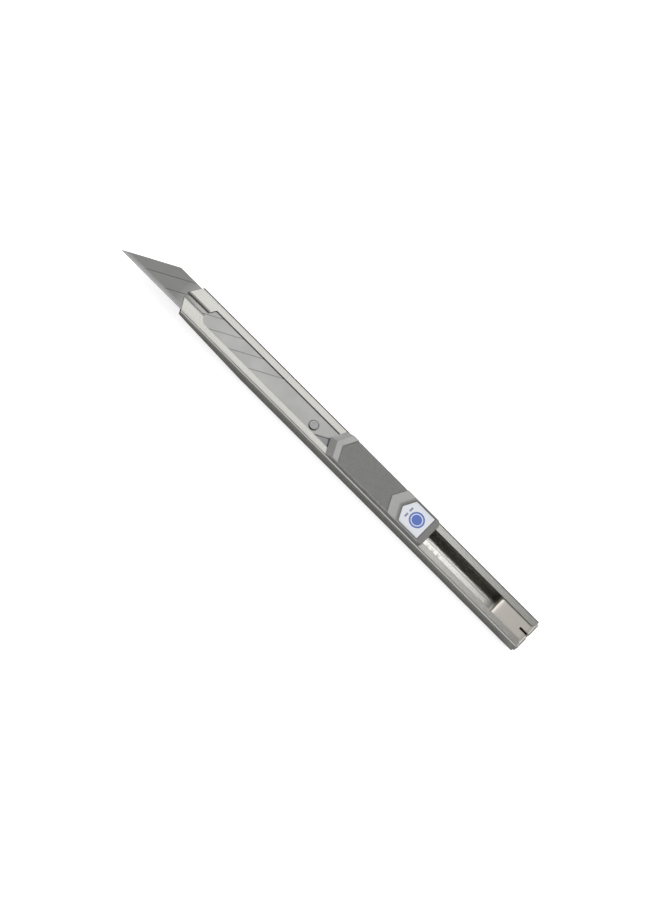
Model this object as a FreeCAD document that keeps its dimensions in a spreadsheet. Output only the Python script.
import FreeCAD, Part
import os
import re
import Sketcher

# A slim stainless snap-off knife for 9 mm, 30 degree blades.
#
# Design datum, in millimetres: x = 0 at the tip of the folded nose and grows towards the rear,
# y = 0 on the middle plane of the channel with the blade's spine on the +y side, and z = 0 on
# the outer face of the back wall with the open, slotted face up. Every sub-part is drawn at this
# datum and then placed by the same shift, which puts the origin under the middle of the knife.

doc = FreeCAD.newDocument("snap_off_knife")

# ---------------------------------------------------------------------------------------------
# Driving dimensions
# ---------------------------------------------------------------------------------------------

DIMENSIONS = [
    # folded channel
    ("channel_depth", 5.2, "outside depth, back wall to lips"),
    ("sheet_wall", 0.5, "thickness of the stainless sheet"),
    ("fold_radius", 0.7, "outside radius of the four long folds"),
    ("nose_depth", 2.7, "outside depth at the nose tip"),
    ("nose_taper_run", 27.7, "length over which the back wall rises to the nose"),
    ("nose_setback", 2.7, "how far the outer corners of the nose stand behind its tip"),
    ("nose_slot_width", 1.36, "gap between the wide lips at the nose"),
    ("window_front", 8.2, "nose tip to the front of the wide slot"),
    ("window_slant", 1.6, "length of the slanted step from narrow to wide slot"),
    ("window_cut_back", 2.08, "window's front to where the edge-side lip is at full slot width"),
    ("window_corner", 0.48, "window's front to the break in the edge-side step"),
    ("window_corner_side", 1.867, "break in the edge-side step from the middle plane"),
    ("slot_width", 5.6, "gap between the lips behind the nose"),
    ("lip_lead_in", 0.9, "chamfer on the rear inner corners of the lips"),
    # detent grooves in the back wall
    ("detent_pitch", 2.0, "distance between two lock positions"),
    ("detent_depth", 0.2, "depth of a groove in the back wall"),
    ("detent_width", 0.9, "width of a groove along the knife"),
    ("detent_length", 2.2, "length of a groove across the knife"),
    ("detent_offset", 3.1, "middle of the groove row from the middle plane, on the edge side"),
    # travel of the slider from the rest position
    ("travel_out", 40.0, "how far the blade still goes out"),
    ("travel_in", 24.0, "how far the blade goes back"),
    # blade
    ("blade_width", 9.0, "edge to spine"),
    ("blade_thickness", 0.38, "thickness of the blade"),
    ("blade_edge_length", 74.0, "tip to the middle of the stud's hole"),
    ("blade_tip_angle", 30.0, "angle of the tip and of the score lines"),
    ("blade_tail_length", 11.0, "from the stud's hole to the rearmost point"),
    ("blade_tail_setback", 1.4, "end of the cutting edge ahead of the stud's hole"),
    ("blade_tail_rise", 7.16, "height of the rearmost point over the edge"),
    ("blade_tail_corner", 2.0, "setback of the spine's rear corner"),
    ("blade_bevel", 1.2, "height of the ground bevel"),
    ("blade_edge_land", 0.04, "thickness left at the cutting edge"),
    ("blade_out", 21.9, "tip to nose tip at rest"),
    ("blade_side_play", 0.3, "blade to each side wall, when it lies in the middle"),
    ("blade_side_shift", 0.1, "blade's middle from the channel's middle plane"),
    ("score_first", 6.6, "tip to the first score line, along the edge"),
    ("score_pitch", 7.93, "distance between two score lines"),
    ("score_count", 6, "number of score lines"),
    ("score_width", 0.22, "width of a score line"),
    ("score_depth", 0.08, "depth of a score line"),
    ("stud_hole_diameter", 3.2, "hole in the blade"),
    ("stud_drop", 0.9, "hole centre below the blade's middle, towards the edge"),
    # carrier under the blade
    ("carrier_plate", 0.8, "thickness of the carrier under the blade"),
    ("carrier_lead", 2.5, "carrier's front end ahead of the stud"),
    ("carrier_front_radius", 1.8, "plan radius of the carrier's front corners"),
    ("stud_stem_diameter", 1.6, "stem of the stud in the carrier"),
    ("stud_proud", 0.5, "stud above the blade's face"),
    ("stud_crown", 0.2, "chamfer around the stud's top"),
    # thumb slider
    ("slider_lead", 5.8, "stud to the slider's front point"),
    ("slider_length", 39.7, "front point to rear end"),
    ("slider_inset", 0.6, "slider's side in from the channel's side"),
    ("slider_height", 2.1, "height above the lips, less the running gap"),
    ("slider_chevron", 2.3, "setback of the slider's front corners"),
    ("slider_bevel", 1.95, "size of the bevel on the front faces"),
    ("slider_corner_radius", 1.0, "plan radius of the rear corners"),
    ("slider_edge_radius", 0.3, "radius of the long top edges"),
    ("thumb_front", 4.1, "front point to the start of the thumb recess"),
    ("band_length", 4.1, "raised band between thumb recess and label seat"),
    ("thumb_depth", 0.35, "depth of the thumb recess"),
    ("label_seat_length", 9.8, "length of the label's seat, to its front point"),
    ("label_seat_rear_rim", 1.9, "rim left behind the label's seat"),
    ("label_seat_side_rim", 0.45, "rim left beside the label's seat"),
    ("label_seat_depth", 0.2, "depth of the label's seat"),
    ("label_gap", 0.3, "gap around the label in its seat"),
    ("label_front_gap", 0.36, "gap ahead of the label, along the knife"),
    ("label_thickness", 0.12, "thickness of the label"),
    ("neck_front_margin", 0.8, "carrier's step to the front of the neck"),
    ("neck_rear_margin", 2.1, "rear of the neck to the slider's rear end"),
    ("neck_corner_radius", 0.8, "plan radius of the neck's corners"),
    # fasteners
    ("rivet_stem_diameter", 1.4, "stem of the two slider rivets"),
    ("rivet_head_diameter", 2.6, "head of the two slider rivets"),
    ("rivet_head_height", 0.4, "head height of the rivets"),
    ("rivet_depth", 1.1, "depth of the rivets in the neck"),
    ("rivet_margin", 5.0, "rivet centres from the ends of the neck"),
    ("spring_rivet_stem", 1.0, "stem of the spring's rivet"),
    ("spring_rivet_head", 1.9, "head of the spring's rivet"),
    # lock spring
    ("spring_thickness", 0.3, "thickness of the lock spring, measured upright"),
    ("spring_width", 1.9, "width of the lock spring"),
    ("spring_root_length", 6.0, "flat part under the carrier"),
    ("spring_reach", 14.4, "rear end of the spring to its vee"),
    ("spring_vee_half", 0.6, "half length of the vee"),
    ("spring_tip_length", 2.4, "vee to the spring's free end"),
    ("spring_tip_rise", 0.8, "free end of the spring over the vee's shoulder"),
    ("spring_tail_setback", 1.0, "rear end of the spring ahead of the carrier's end"),
    # end clip
    ("clip_sheet", 0.6, "thickness of the end clip's sheet"),
    ("clip_tongue_length", 12.55, "tongue inside the channel"),
    ("tongue_room", 3.0, "slider, all the way back, to the tongue"),
    ("clip_curl_radius", 1.3, "outside radius of the tongue's front curl"),
    ("clip_bend_radius", 1.0, "outside radius of the two rear bends"),
    ("clip_gap", 0.9, "space under the back wall at the clip's root"),
    ("clip_arm_length", 31.5, "rear end to where the arm comes closest"),
    ("clip_arm_nip", 0.1, "space left where the arm comes closest"),
    ("clip_flare_length", 4.5, "length of the flared front end"),
    ("clip_root_inset", 1.4, "arm's side in from the end wall's side at the root"),
    ("clip_tip_inset", 2.2, "the same at the arm's tip"),
    ("clip_tip_radius", 1.6, "plan radius of the arm's tip"),
    ("snap_slot_width", 0.75, "slot that holds a blade segment"),
    ("snap_slot_length", 3.6, "length of that slot"),
    ("snap_slot_mouth", 2.0, "width of the slot's flared mouth"),
    ("snap_slot_flare", 0.9, "length of the flared mouth"),
    # clearances
    ("lip_clearance", 0.04, "blade, carrier and tongue under the lips"),
    ("blade_seat_gap", 0.02, "between blade and carrier"),
    ("slider_gap", 0.05, "slider above the lips"),
    ("neck_clearance", 0.1, "neck to each lip"),
    ("side_clearance", 0.2, "carrier and tongue to each side wall"),
    ("stud_clearance", 0.2, "stud to the blade's hole"),
    ("detent_clearance", 0.05, "spring's vee over the bottom of a groove"),
    ("end_gap", 0.05, "end wall behind the channel, arm bend under it"),
    ("tail_clearance", 0.5, "blade's tail to the carrier's step"),
    ("cutter_margin", 1.0, "how far cutting shapes run past the solid"),
]

# Places that follow from the driving dimensions.
DERIVED = [
    ("inner_width", "blade_width + 2 * blade_side_play"),
    ("channel_width", "inner_width + 2 * sheet_wall"),
    ("carrier_width", "inner_width - 2 * side_clearance"),
    ("clip_width", "inner_width - 2 * side_clearance"),
    ("clip_root_width", "clip_width - 2 * clip_root_inset"),
    ("clip_tip_width", "clip_width - 2 * clip_tip_inset"),
    ("slider_width", "channel_width - 2 * slider_inset"),
    ("stud_diameter", "stud_hole_diameter - 2 * stud_clearance"),
    ("lip_under", "channel_depth - sheet_wall"),
    ("blade_top", "lip_under - lip_clearance"),
    ("blade_bottom", "blade_top - blade_thickness"),
    ("carrier_seat", "blade_bottom - blade_seat_gap"),
    ("carrier_bottom", "carrier_seat - carrier_plate"),
    ("edge_side", "blade_side_shift - blade_width / 2"),
    ("spine_side", "blade_side_shift + blade_width / 2"),
    ("stud_x", "blade_edge_length - blade_out"),
    ("stud_side", "blade_side_shift - stud_drop"),
    ("carrier_front", "stud_x - carrier_lead"),
    ("carrier_step", "stud_x + blade_tail_length + tail_clearance"),
    ("slider_front", "stud_x + slider_lead"),
    ("slider_end", "slider_front + slider_length"),
    ("neck_start", "carrier_step + neck_front_margin"),
    ("neck_end", "slider_end - neck_rear_margin"),
    ("thumb_start", "slider_front + thumb_front"),
    ("seat_start", "slider_end - label_seat_rear_rim - label_seat_length"),
    ("thumb_end", "seat_start - band_length"),
    ("slider_base", "channel_depth + slider_gap"),
    ("slider_top", "slider_base + slider_height"),
    ("rivet_front_x", "neck_start + rivet_margin"),
    ("rivet_rear_x", "neck_end - rivet_margin"),
    ("spring_end", "neck_end - spring_tail_setback"),
    ("vee_x", "spring_end - spring_reach"),
    ("vee_bottom", "sheet_wall - detent_depth + detent_clearance"),
    ("spring_under", "carrier_bottom - spring_thickness"),
    ("spring_rivet_x", "spring_end - spring_root_length / 2"),
    ("detent_count", "round((travel_out + travel_in) / detent_pitch) + 1"),
    ("channel_length", "slider_end + travel_in + tongue_room + clip_tongue_length"),
    ("wall_x", "channel_length + end_gap"),
    ("knife_end", "wall_x + clip_sheet"),
    ("tongue_front", "channel_length - clip_tongue_length"),
    ("arm_under", "clip_gap + clip_sheet"),
    ("clip_flare_drop", "clip_gap - clip_arm_nip"),
    ("middle_x", "(knife_end - blade_out) / 2"),
]

sheet = doc.addObject("Spreadsheet::Sheet", "Dimensions")
for row, (alias, value, meaning) in enumerate(DIMENSIONS, start=1):
    sheet.set(f"A{row}", meaning)
    sheet.set(f"B{row}", str(value))
    sheet.setAlias(f"B{row}", alias)
for row, (alias, formula) in enumerate(DERIVED, start=len(DIMENSIONS) + 2):
    sheet.set(f"A{row}", "derived")
    sheet.set(f"B{row}", f"={formula}")
    sheet.setAlias(f"B{row}", alias)
doc.recompute()

CELLS = {entry[0]: f"Dimensions.{entry[0]}" for entry in DIMENSIONS + DERIVED}


def size(alias):
    """The value of one named cell."""
    return float(getattr(sheet, alias))


def bound(formula):
    """The same formula with each alias written as a cell of the sheet."""
    return re.sub(r"[a-z_]+", lambda word: CELLS.get(word[0], word[0]), formula)


def worth(formula):
    """The number that a formula in aliases gives now."""
    return float(sheet.evalExpression(bound(formula)))


# ---------------------------------------------------------------------------------------------
# Helpers that draw and check
# ---------------------------------------------------------------------------------------------

def new_body(label):
    """An empty body whose label names its file and node."""
    body = doc.addObject("PartDesign::Body", label)
    body.Label = label
    return body


def new_sketch(body, name, plane, offset="0"):
    """A sketch on one of the body's own origin planes, moved along that plane's normal."""
    sketch = body.newObject("Sketcher::SketchObject", f"{body.Name}_{name}")
    origin_plane = next(f for f in body.Origin.OriginFeatures if f.Role == plane)
    sketch.AttachmentSupport = [(origin_plane, "")]
    sketch.MapMode = "FlatFace"
    sketch.AttachmentOffset = FreeCAD.Placement()
    sketch.setExpression("AttachmentOffset.Base.z", bound(offset))
    return sketch


def draw_outline(sketch, points):
    """A closed outline of straight lines, with both coordinates of each corner bound."""
    corners = [FreeCAD.Vector(worth(x), worth(y), 0) for x, y in points]
    first = sketch.GeometryCount
    for i, corner in enumerate(corners):
        following = corners[(i + 1) % len(corners)]
        sketch.addGeometry(Part.LineSegment(corner, following), False)
    for i, (x, y) in enumerate(points):
        before = first + (i - 1) % len(points)
        sketch.addConstraint(Sketcher.Constraint("Coincident", before, 2, first + i, 1))
        for kind, formula, value in (("DistanceX", x, corners[i].x), ("DistanceY", y, corners[i].y)):
            index = sketch.addConstraint(Sketcher.Constraint(kind, -1, 1, first + i, 1, value))
            sketch.setExpression(f"Constraints[{index}]", bound(formula))


def draw_circle(sketch, x, y, diameter):
    """A circle with its centre and radius bound."""
    centre = FreeCAD.Vector(worth(x), worth(y), 0)
    radius = f"{diameter} / 2"
    circle = sketch.addGeometry(Part.Circle(centre, FreeCAD.Vector(0, 0, 1), worth(radius)), False)
    for kind, formula, value in (("DistanceX", x, centre.x), ("DistanceY", y, centre.y)):
        index = sketch.addConstraint(Sketcher.Constraint(kind, -1, 1, circle, 3, value))
        sketch.setExpression(f"Constraints[{index}]", bound(formula))
    index = sketch.addConstraint(Sketcher.Constraint("Radius", circle, worth(radius)))
    sketch.setExpression(f"Constraints[{index}]", bound(radius))


def extrude(body, sketch, kind, length, symmetric=False, upwards=False):
    """A pad or a pocket of a sketch; a pocket has to take material away."""
    feature = body.newObject(f"PartDesign::{kind}", f"{sketch.Name}_{kind.lower()}")
    feature.Profile = sketch
    feature.setExpression("Length", bound(length))
    feature.Midplane = symmetric
    feature.Reversed = upwards
    before = 0.0 if body.Shape.isNull() else body.Shape.Volume
    doc.recompute()
    gained = feature.Shape.Volume - before
    if (kind == "Pocket" and gained > -1e-6) or (kind == "Pad" and gained < 1e-6):
        raise RuntimeError(f"{feature.Name} changes nothing")
    return feature


def repeat_along(body, feature, sketch, length, count):
    """A row of a feature along the sketch's own horizontal axis."""
    pattern = body.newObject("PartDesign::LinearPattern", f"{feature.Name}_row")
    pattern.Originals = [feature]
    pattern.Direction = (sketch, ["H_Axis"])
    pattern.setExpression("Length", bound(length))
    pattern.setExpression("Occurrences", bound(count))
    body.Tip = pattern
    doc.recompute()
    return pattern


def dress_edges(body, kind, name, amount, wanted):
    """A fillet or a chamfer on each edge of the body's tip that the test picks."""
    tip = body.Tip
    names = [f"Edge{i}" for i, edge in enumerate(tip.Shape.Edges, start=1) if wanted(edge)]
    if not names:
        raise RuntimeError(f"{body.Name} has no edge for {name}")
    feature = body.newObject(f"PartDesign::{kind}", f"{body.Name}_{name}")
    feature.Base = (tip, names)
    feature.setExpression("Radius" if kind == "Fillet" else "Size", bound(amount))
    doc.recompute()
    return feature


def near(value, target):
    """Whether two lengths are the same, to a thousandth."""
    return abs(value - target) < 1e-3


def runs_along(edge, axis):
    """Whether a straight edge is parallel to the axis."""
    if len(edge.Vertexes) != 2 or edge.Curve.TypeId != "Part::GeomLine":
        return False
    return abs(edge.tangentAt(edge.FirstParameter).dot(axis)) > 0.9999


Y_AXIS = FreeCAD.Vector(0, 1, 0)
Z_AXIS = FreeCAD.Vector(0, 0, 1)


# ---------------------------------------------------------------------------------------------
# Sub-parts
# ---------------------------------------------------------------------------------------------

def make_body_channel():
    """The handle: one folded sheet, open along its face, with a chevron nose that tapers."""
    body = new_body("body_channel")

    side = new_sketch(body, "side", "XZ_Plane")
    draw_outline(side, [
        ("0", "channel_depth - nose_depth"),
        ("nose_taper_run", "0"),
        ("channel_length", "0"),
        ("channel_length", "channel_depth"),
        ("0", "channel_depth"),
    ])
    extrude(body, side, "Pad", "channel_width", symmetric=True)

    half = size("channel_width") / 2
    dress_edges(body, "Fillet", "long_folds", "fold_radius",
                lambda e: near(abs(e.CenterOfMass.y), half) and e.BoundBox.XLength > size("nose_setback"))

    hollow = new_sketch(body, "hollow", "XZ_Plane")
    slope = "(channel_depth - nose_depth) / nose_taper_run"
    draw_outline(hollow, [
        ("0 - cutter_margin", f"channel_depth - nose_depth + cutter_margin * {slope} + sheet_wall"),
        ("nose_taper_run", "sheet_wall"),
        ("channel_length + cutter_margin", "sheet_wall"),
        ("channel_length + cutter_margin", "lip_under"),
        ("0 - cutter_margin", "lip_under"),
    ])
    extrude(body, hollow, "Pocket", "inner_width", symmetric=True)

    slot = new_sketch(body, "slot", "XY_Plane", "channel_depth + cutter_margin")
    draw_outline(slot, [
        ("0 - cutter_margin", "nose_slot_width / 2"),
        ("window_front", "nose_slot_width / 2"),
        ("window_front + window_slant", "slot_width / 2"),
        ("channel_length - lip_lead_in", "slot_width / 2"),
        ("channel_length + cutter_margin", "slot_width / 2 + lip_lead_in + cutter_margin"),
        ("channel_length + cutter_margin", "0 - slot_width / 2 - lip_lead_in - cutter_margin"),
        ("channel_length - lip_lead_in", "0 - slot_width / 2"),
        ("window_front + window_cut_back", "0 - slot_width / 2"),
        ("window_front + window_corner", "0 - window_corner_side"),
        ("window_front", "0 - nose_slot_width / 2"),
        ("0 - cutter_margin", "0 - nose_slot_width / 2"),
    ])
    extrude(body, slot, "Pocket", "cutter_margin + 1.5 * sheet_wall")

    nose = new_sketch(body, "nose", "XY_Plane")
    for sign in ("", "0 - "):
        draw_outline(nose, [
            ("0 - cutter_margin", f"{sign}nose_slot_width / 2"),
            ("0", f"{sign}nose_slot_width / 2"),
            ("nose_setback", f"{sign}channel_width / 2"),
            ("nose_setback", f"{sign}channel_width / 2 {'-' if sign else '+'} cutter_margin"),
            ("0 - cutter_margin", f"{sign}channel_width / 2 {'-' if sign else '+'} cutter_margin"),
        ])
    extrude(body, nose, "Pocket", "4 * channel_depth", symmetric=True)

    groove = new_sketch(body, "detent", "XZ_Plane", "detent_offset")
    draw_outline(groove, [
        ("vee_x - travel_out - detent_width / 2", "sheet_wall"),
        ("vee_x - travel_out", "sheet_wall - detent_depth"),
        ("vee_x - travel_out + detent_width / 2", "sheet_wall"),
    ])
    cut = extrude(body, groove, "Pocket", "detent_length", symmetric=True)
    repeat_along(body, cut, groove, "travel_out + travel_in", "detent_count")
    return body


def make_blade():
    """The blade: a 30 degree tip, a ground edge, score lines and a hole near the tail."""
    body = new_body("blade")
    tip_x = "0 - blade_out"
    outline = new_sketch(body, "outline", "XY_Plane", "blade_bottom")
    draw_outline(outline, [
        (tip_x, "edge_side"),
        ("stud_x - blade_tail_setback", "edge_side"),
        ("stud_x + blade_tail_length", "edge_side + blade_tail_rise"),
        ("stud_x + blade_tail_length - blade_tail_corner", "spine_side"),
        (f"{tip_x} + blade_width / tan(blade_tip_angle * 1deg)", "spine_side"),
    ])
    extrude(body, outline, "Pad", "blade_thickness")

    bevel = new_sketch(body, "bevel", "YZ_Plane")
    over = "cutter_margin"
    for face, sign in (("blade_top", "+"), ("blade_bottom", "-")):
        inward = "-" if sign == "+" else "+"
        draw_outline(bevel, [
            ("edge_side + blade_bevel", face),
            ("edge_side", f"{face} {inward} (blade_thickness - blade_edge_land) / 2"),
            (f"edge_side - {over}", f"{face} {inward} (blade_thickness - blade_edge_land) / 2"),
            (f"edge_side - {over}", f"{face} {sign} {over}"),
            ("edge_side + blade_bevel", f"{face} {sign} {over}"),
        ])
    extrude(body, bevel, "Pocket", "4 * blade_edge_length", symmetric=True)

    score = new_sketch(body, "score", "XY_Plane", "blade_top")
    slant = "tan(blade_tip_angle * 1deg)"
    foot = f"{tip_x} + score_first + blade_bevel / {slant}"
    head = f"{tip_x} + score_first + (blade_width + cutter_margin) / {slant}"
    across = "score_width / sin(blade_tip_angle * 1deg)"
    draw_outline(score, [
        (foot, "edge_side + blade_bevel"),
        (f"{foot} + {across}", "edge_side + blade_bevel"),
        (f"{head} + {across}", "spine_side + cutter_margin"),
        (head, "spine_side + cutter_margin"),
    ])
    cut = extrude(body, score, "Pocket", "score_depth")
    repeat_along(body, cut, score, "score_pitch * (score_count - 1)", "score_count")

    hole = new_sketch(body, "hole", "XY_Plane", "blade_top + cutter_margin")
    draw_circle(hole, "stud_x", "stud_side", "stud_hole_diameter")
    extrude(body, hole, "Pocket", "2 * cutter_margin + blade_thickness")
    return body


def make_blade_carrier():
    """The steel strip that runs in the channel: thin under the blade, thicker behind it."""
    body = new_body("blade_carrier")
    side = new_sketch(body, "side", "XZ_Plane")
    draw_outline(side, [
        ("carrier_front", "carrier_bottom"),
        ("neck_end", "carrier_bottom"),
        ("neck_end", "blade_top"),
        ("carrier_step", "blade_top"),
        ("carrier_step", "carrier_seat"),
        ("carrier_front", "carrier_seat"),
    ])
    extrude(body, side, "Pad", "carrier_width", symmetric=True)
    dress_edges(body, "Fillet", "front_corners", "carrier_front_radius",
                lambda e: runs_along(e, Z_AXIS) and near(e.CenterOfMass.x, size("carrier_front")))
    holes = new_sketch(body, "holes", "XY_Plane", "lip_under")
    draw_circle(holes, "stud_x", "stud_side", "stud_stem_diameter")
    draw_circle(holes, "rivet_front_x", "0", "rivet_stem_diameter")
    draw_circle(holes, "rivet_rear_x", "0", "rivet_stem_diameter")
    draw_circle(holes, "spring_rivet_x", "0 - detent_offset", "spring_rivet_stem")
    extrude(body, holes, "Pocket", "lip_under")
    return body


def make_blade_stud():
    """The stud that drives the blade: a stem in the carrier and a chamfered head above it."""
    body = new_body("blade_stud")
    half = new_sketch(body, "half", "XZ_Plane", "0 - stud_side")
    draw_outline(half, [
        ("stud_x", "carrier_bottom"),
        ("stud_x + stud_stem_diameter / 2", "carrier_bottom"),
        ("stud_x + stud_stem_diameter / 2", "carrier_seat"),
        ("stud_x + stud_diameter / 2", "carrier_seat"),
        ("stud_x + stud_diameter / 2", "blade_top + stud_proud - stud_crown"),
        ("stud_x + stud_diameter / 2 - stud_crown", "blade_top + stud_proud"),
        ("stud_x", "blade_top + stud_proud"),
    ])
    spin = body.newObject("PartDesign::Revolution", "blade_stud_spin")
    spin.Profile = half
    spin.ReferenceAxis = (half, ["Edge7"])
    spin.Angle = 360
    doc.recompute()
    return body


def make_slider_thumb_piece():
    """The die-cast slider: chevron front, thumb recess, label seat, and a neck in the slot."""
    body = new_body("slider_thumb_piece")
    plan = new_sketch(body, "plan", "XY_Plane", "slider_base")
    draw_outline(plan, [
        ("slider_front", "0"),
        ("slider_front + slider_chevron", "0 - slider_width / 2"),
        ("slider_end", "0 - slider_width / 2"),
        ("slider_end", "slider_width / 2"),
        ("slider_front + slider_chevron", "slider_width / 2"),
    ])
    extrude(body, plan, "Pad", "slider_height")

    top = size("slider_top")
    front = size("slider_front") + size("slider_chevron")
    dress_edges(body, "Fillet", "rear_corners", "slider_corner_radius",
                lambda e: runs_along(e, Z_AXIS) and near(e.CenterOfMass.x, size("slider_end")))
    dress_edges(body, "Chamfer", "front_bevel", "slider_bevel",
                lambda e: near(e.BoundBox.ZMin, top) and e.BoundBox.XMax < front + 1e-3)
    dress_edges(body, "Fillet", "top_edges", "slider_edge_radius",
                lambda e: near(e.BoundBox.ZMin, top) and e.CenterOfMass.x > front + size("slider_bevel"))

    thumb = new_sketch(body, "thumb", "XY_Plane", "slider_top")
    side = "(slider_width / 2 + cutter_margin)"
    back = f"slider_chevron * {side} / (slider_width / 2)"
    draw_outline(thumb, [
        ("thumb_start", "0"),
        (f"thumb_start + {back}", f"0 - {side}"),
        (f"thumb_end + {back}", f"0 - {side}"),
        ("thumb_end", "0"),
        (f"thumb_end + {back}", side),
        (f"thumb_start + {back}", side),
    ])
    extrude(body, thumb, "Pocket", "thumb_depth")

    seat = new_sketch(body, "label_seat", "XY_Plane", "slider_top")
    draw_outline(seat, label_outline("0", "0"))
    extrude(body, seat, "Pocket", "label_seat_depth")

    neck = new_sketch(body, "neck", "XY_Plane", "blade_top")
    half_neck = "(slot_width / 2 - neck_clearance)"
    draw_outline(neck, [
        ("neck_start", f"0 - {half_neck}"),
        ("neck_end", f"0 - {half_neck}"),
        ("neck_end", half_neck),
        ("neck_start", half_neck),
    ])
    extrude(body, neck, "Pad", "slider_base - blade_top")
    neck_middle = (size("blade_top") + size("slider_base")) / 2
    dress_edges(body, "Fillet", "neck_corners", "neck_corner_radius",
                lambda e: runs_along(e, Z_AXIS) and near(e.CenterOfMass.z, neck_middle))

    holes = new_sketch(body, "rivet_holes", "XY_Plane", "blade_top")
    draw_circle(holes, "rivet_front_x", "0", "rivet_stem_diameter")
    draw_circle(holes, "rivet_rear_x", "0", "rivet_stem_diameter")
    extrude(body, holes, "Pocket", "rivet_depth", upwards=True)
    return body


def label_outline(gap, along):
    """The house-shaped outline of the label's seat, or of the label a gap inside it.

    gap is taken off the sides and the rear, along off the slanted front.
    """
    front = "seat_start"
    side = f"(slider_width / 2 - label_seat_side_rim - {gap})"
    rear = f"slider_end - label_seat_rear_rim - {gap}"
    return [
        (f"{front} + {along}", "0"),
        (f"{front} + {along} + slider_chevron", f"0 - {side}"),
        (rear, f"0 - {side}"),
        (rear, side),
        (f"{front} + {along} + slider_chevron", side),
    ]


def make_slider_label():
    """The printed label that lies in its shallow seat at the slider's rear."""
    body = new_body("slider_label")
    outline = new_sketch(body, "outline", "XY_Plane", "slider_top - label_seat_depth")
    draw_outline(outline, label_outline("label_gap", "label_front_gap"))
    extrude(body, outline, "Pad", "label_thickness")
    return body


def make_lock_spring():
    """The leaf spring under the carrier, whose vee drops into the detent grooves."""
    body = new_body("lock_spring")
    side = new_sketch(body, "side", "XZ_Plane", "detent_offset")
    shoulder = "(vee_bottom + spring_thickness)"
    lower = [
        ("spring_end", "spring_under"),
        ("spring_end - spring_root_length", "spring_under"),
        ("vee_x + spring_vee_half", shoulder),
        ("vee_x", "vee_bottom"),
        ("vee_x - spring_vee_half", shoulder),
        ("vee_x - spring_tip_length", f"{shoulder} + spring_tip_rise"),
    ]
    upper = [(x, f"{z} + spring_thickness") for x, z in reversed(lower)]
    draw_outline(side, lower + upper)
    extrude(body, side, "Pad", "spring_width", symmetric=True)
    hole = new_sketch(body, "hole", "XY_Plane", "carrier_bottom")
    draw_circle(hole, "spring_rivet_x", "0 - detent_offset", "spring_rivet_stem")
    extrude(body, hole, "Pocket", "2 * spring_thickness")
    return body


def rivet_piece(name, stem, head, head_top, tip, x, y):
    """One flat-headed rivet: a stem with its head below it, as two fused cylinders."""
    pieces = []
    for part, diameter, low, high in (
        ("stem", stem, head_top, tip),
        ("head", head, f"{head_top} - rivet_head_height", head_top),
    ):
        cylinder = doc.addObject("Part::Cylinder", f"{name}_{part}")
        cylinder.setExpression("Radius", bound(f"{diameter} / 2"))
        cylinder.setExpression("Height", bound(f"({high}) - ({low})"))
        cylinder.setExpression("Placement.Base.x", bound(x))
        cylinder.setExpression("Placement.Base.y", bound(y))
        cylinder.setExpression("Placement.Base.z", bound(low))
        pieces.append(cylinder)
    rivet = doc.addObject("Part::Fuse", name)
    rivet.Base, rivet.Tool = pieces
    rivet.Label = name
    return rivet


def make_slider_rivets():
    """The two rivets that hold the carrier to the slider's neck, as one group."""
    rivets = [
        rivet_piece(f"slider_rivet_{place}", "rivet_stem_diameter", "rivet_head_diameter",
                    "carrier_bottom", "blade_top + rivet_depth", f"rivet_{place}_x", "0")
        for place in ("front", "rear")
    ]
    group = doc.addObject("Part::Compound", "slider_rivets")
    group.Links = rivets
    group.Label = "slider_rivets"
    return group


def make_spring_rivet():
    """The small rivet that holds the lock spring's root to the carrier."""
    return rivet_piece("spring_rivet", "spring_rivet_stem", "spring_rivet_head",
                       "spring_under", "blade_top", "spring_rivet_x", "0 - detent_offset")


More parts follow.
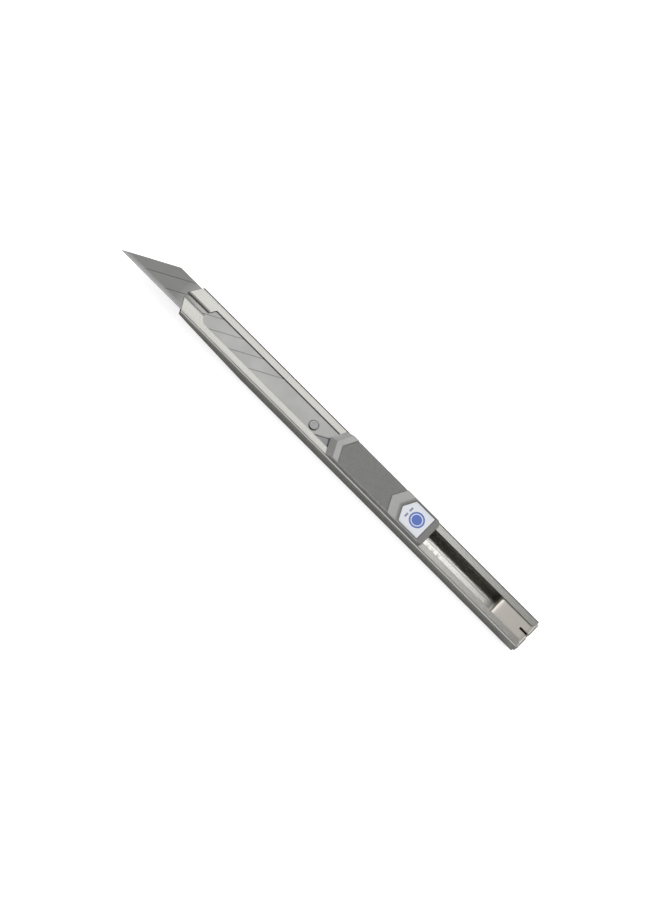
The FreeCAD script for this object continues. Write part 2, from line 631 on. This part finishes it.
def make_end_clip():
    """The bent end piece: a tongue in the channel, an end wall to snap blades, a pocket clip."""
    body = new_body("end_clip")
    side = new_sketch(body, "side", "XZ_Plane")
    nip_x = "knife_end - clip_arm_length"
    draw_outline(side, [
        ("tongue_front", "blade_top"),
        ("tongue_front", "sheet_wall + end_gap"),
        ("tongue_front + clip_sheet", "sheet_wall + end_gap"),
        ("tongue_front + clip_sheet", "blade_top - clip_sheet"),
        ("wall_x", "blade_top - clip_sheet"),
        ("wall_x", "0 - clip_gap"),
        (nip_x, "0 - clip_arm_nip"),
        (f"{nip_x} - clip_flare_length", "0 - clip_arm_nip - clip_flare_drop"),
        (f"{nip_x} - clip_flare_length", "0 - clip_arm_nip - clip_flare_drop - clip_sheet"),
        (nip_x, "0 - clip_arm_nip - clip_sheet"),
        ("knife_end", "0 - arm_under"),
        ("knife_end", "blade_top"),
    ])
    extrude(body, side, "Pad", "clip_width", symmetric=True)

    def across_at(place_x, place_z):
        return lambda e: (runs_along(e, Y_AXIS) and near(e.CenterOfMass.x, place_x)
                          and near(e.CenterOfMass.z, place_z))

    front = size("tongue_front")
    rear = size("knife_end")
    top = size("blade_top")
    thick = size("clip_sheet")
    curl = across_at(front, top)
    inner_curl = across_at(front + thick, top - thick)
    dress_edges(body, "Fillet", "front_curl", "clip_curl_radius", curl)
    dress_edges(body, "Fillet", "front_curl_inside", "clip_curl_radius - clip_sheet", inner_curl)
    bends = [across_at(rear, top), across_at(rear, -size("arm_under"))]
    inner_bends = [across_at(size("wall_x"), top - thick), across_at(size("wall_x"), -size("clip_gap"))]
    dress_edges(body, "Fillet", "rear_bends", "clip_bend_radius", lambda e: any(b(e) for b in bends))
    dress_edges(body, "Fillet", "rear_bends_inside", "clip_bend_radius - clip_sheet",
                lambda e: any(b(e) for b in inner_bends))

    sides = new_sketch(body, "arm_sides", "XY_Plane", "0 - end_gap")
    tip_x = f"{nip_x} - clip_flare_length"
    for sign, outward in (("", "+"), ("0 - ", "-")):
        draw_outline(sides, [
            ("knife_end + cutter_margin", f"{sign}clip_root_width / 2"),
            ("wall_x", f"{sign}clip_root_width / 2"),
            (tip_x, f"{sign}clip_tip_width / 2"),
            (f"{tip_x} - cutter_margin", f"{sign}clip_tip_width / 2"),
            (f"{tip_x} - cutter_margin", f"{sign}clip_width / 2 {outward} cutter_margin"),
            ("knife_end + cutter_margin", f"{sign}clip_width / 2 {outward} cutter_margin"),
        ])
    extrude(body, sides, "Pocket", "arm_under + clip_flare_drop + cutter_margin")
    tip = worth(tip_x)
    dress_edges(body, "Fillet", "arm_tip", "clip_tip_radius",
                lambda e: runs_along(e, Z_AXIS) and near(e.CenterOfMass.x, tip))

    slot = new_sketch(body, "snap_slot", "XY_Plane", "channel_depth")
    draw_outline(slot, [
        ("knife_end - snap_slot_length", "snap_slot_width / 2"),
        ("knife_end - snap_slot_flare", "snap_slot_width / 2"),
        ("knife_end", "snap_slot_mouth / 2"),
        ("knife_end + cutter_margin", "snap_slot_mouth / 2"),
        ("knife_end + cutter_margin", "0 - snap_slot_mouth / 2"),
        ("knife_end", "0 - snap_slot_mouth / 2"),
        ("knife_end - snap_slot_flare", "0 - snap_slot_width / 2"),
        ("knife_end - snap_slot_length", "0 - snap_slot_width / 2"),
    ])
    extrude(body, slot, "Pocket", "channel_depth - clip_sheet")

    mouth = new_sketch(body, "snap_mouth", "XY_Plane", "channel_depth")
    draw_outline(mouth, [
        ("knife_end - snap_slot_flare", "snap_slot_width / 2"),
        ("knife_end", "snap_slot_mouth / 2"),
        ("knife_end + cutter_margin", "snap_slot_mouth / 2"),
        ("knife_end + cutter_margin", "0 - snap_slot_mouth / 2"),
        ("knife_end", "0 - snap_slot_mouth / 2"),
        ("knife_end - snap_slot_flare", "0 - snap_slot_width / 2"),
    ])
    extrude(body, mouth, "Pocket", "channel_depth + arm_under + cutter_margin")
    return body


# ---------------------------------------------------------------------------------------------
# Build, place, check and write
# ---------------------------------------------------------------------------------------------

def place(part):
    """Shift a sub-part so that the origin lies under the middle of the knife."""
    part.setExpression("Placement.Base.x", bound("0 - middle_x"))
    part.setExpression("Placement.Base.z", bound("arm_under"))


def check_document():
    """Stop if any object of the document failed to compute."""
    for item in doc.Objects:
        if "Invalid" in item.State or "Error" in item.State:
            raise RuntimeError(f"{item.Name} is in state {item.State}")


def write_part(part):
    """Write one sub-part to its own STEP file, once its shape is known to be good."""
    shape = part.Shape
    if shape.isNull() or not shape.isValid() or not shape.Solids:
        raise RuntimeError(f"{part.Label} has no valid solid")
    shape.exportStep(os.path.join("parts", f"{part.Label}.step"))
    box = shape.BoundBox
    print(f"{part.Label:20s} {len(shape.Solids)} solid {shape.Volume:8.2f} mm3 "
          f"x {box.XMin:7.2f} {box.XMax:7.2f} y {box.YMin:6.2f} {box.YMax:6.2f} "
          f"z {box.ZMin:6.2f} {box.ZMax:6.2f}")


parts = [
    make_body_channel(),
    make_blade(),
    make_blade_carrier(),
    make_blade_stud(),
    make_slider_thumb_piece(),
    make_slider_label(),
    make_lock_spring(),
    make_slider_rivets(),
    make_spring_rivet(),
    make_end_clip(),
]
for sub_part in parts:
    place(sub_part)
doc.recompute()
check_document()
os.makedirs("parts", exist_ok=True)
for sub_part in parts:
    write_part(sub_part)
